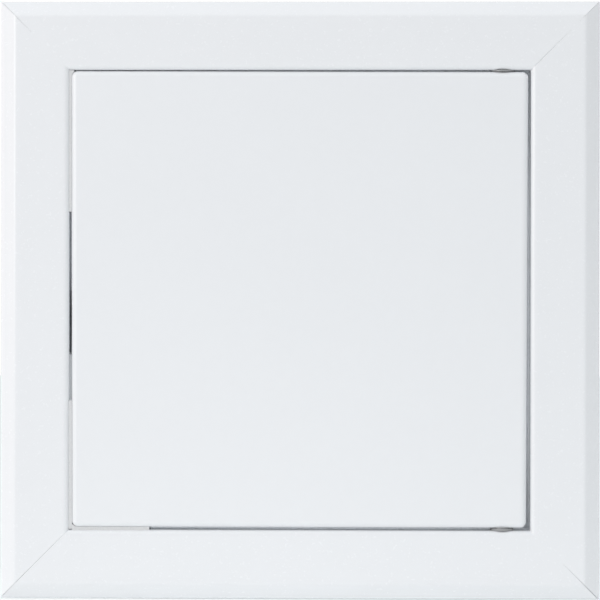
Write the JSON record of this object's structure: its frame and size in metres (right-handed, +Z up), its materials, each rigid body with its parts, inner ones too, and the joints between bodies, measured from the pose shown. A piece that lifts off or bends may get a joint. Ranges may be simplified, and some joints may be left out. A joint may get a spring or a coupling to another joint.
{
  "type": "access panel",
  "caption": "Square flush wall access panel: mitred white bevelled frame and a plain white door hung on concealed pivots, held by a magnetic touch latch.",
  "frame": {"origin": "centre of the square opening, in the plane of the wall's surface, which the rear edge of the frame rests on", "axes": "+Z up, +X to the right seen from the room, +Y into the wall; the front faces -Y"},
  "size_m": [0.26, 0.0508, 0.2594],
  "materials": {
    "frame_powder_coat": "satin white powder coat on extruded aluminium",
    "door_powder_coat": "satin white powder coat on folded steel sheet",
    "zinc_sheet": "bright zinc plated steel sheet",
    "zinc_fastener": "bright zinc plated",
    "pin_steel": "turned steel, plated",
    "spring_steel": "drawn spring wire",
    "bush_plastic": "moulded acetal, grey",
    "white_foam": "closed-cell foam tape, white",
    "black_plastic": "moulded nylon, black, fine spark texture",
    "plunger_plastic": "moulded acetal, pale grey",
    "magnet_nickel": "nickel plated magnet"
  },
  "bodies": {
    "frame": {"frame_top": "frame_powder_coat", "frame_bottom": "frame_powder_coat", "frame_left": "frame_powder_coat", "frame_right": "frame_powder_coat", "corner_cleat_top_left": "zinc_sheet", "corner_cleat_top_right": "zinc_sheet", "corner_cleat_bottom_left": "zinc_sheet", "corner_cleat_bottom_right": "zinc_sheet", "cleat_screws": "zinc_fastener", "pivot_bush_top": "bush_plastic", "pivot_bush_bottom": "bush_plastic", "seal_left_upper": "white_foam", "seal_left_lower": "white_foam", "seal_bottom_left": "white_foam", "latch_body": "black_plastic", "latch_end_cap": "black_plastic", "latch_screws": "zinc_fastener", "latch_spring": "spring_steel", "latch_follower": "spring_steel"},
    "plunger": {"latch_plunger": "plunger_plastic", "latch_magnet": "magnet_nickel"},
    "door": {"door_panel": "door_powder_coat", "hinge_bracket_top": "zinc_sheet", "hinge_bracket_bottom": "zinc_sheet", "pivot_pin_bottom": "pin_steel", "strike_plate": "zinc_sheet", "weld_studs": "zinc_fastener", "stud_nuts": "zinc_fastener", "pin_spring": "spring_steel"},
    "top_pin": {"pivot_pin_top": "pin_steel", "pin_clip": "pin_steel"}
  },
  "joints": [
    {"name": "door_hinge", "type": "hinge", "parent": "frame", "child": "door", "pos_m": [0.088, 0.0005, 0], "axis": [0, 0, 1], "range_deg": [0, 110]},
    {"name": "plunger_slide", "type": "slide", "parent": "frame", "child": "plunger", "axis": [0, -1, 0], "range_m": [0, 0.012]},
    {"name": "top_pin_slide", "type": "slide", "parent": "door", "child": "top_pin", "axis": [0, 0, -1], "range_m": [0, 0.005], "stiffness_N_per_m": 250, "springref_m": -0.006, "deforming": ["pin_spring"]}
  ],
  "couplings": [
    {"joint": "plunger_slide", "follows": "door_hinge", "m_per_rad": 0.00625}
  ]
}
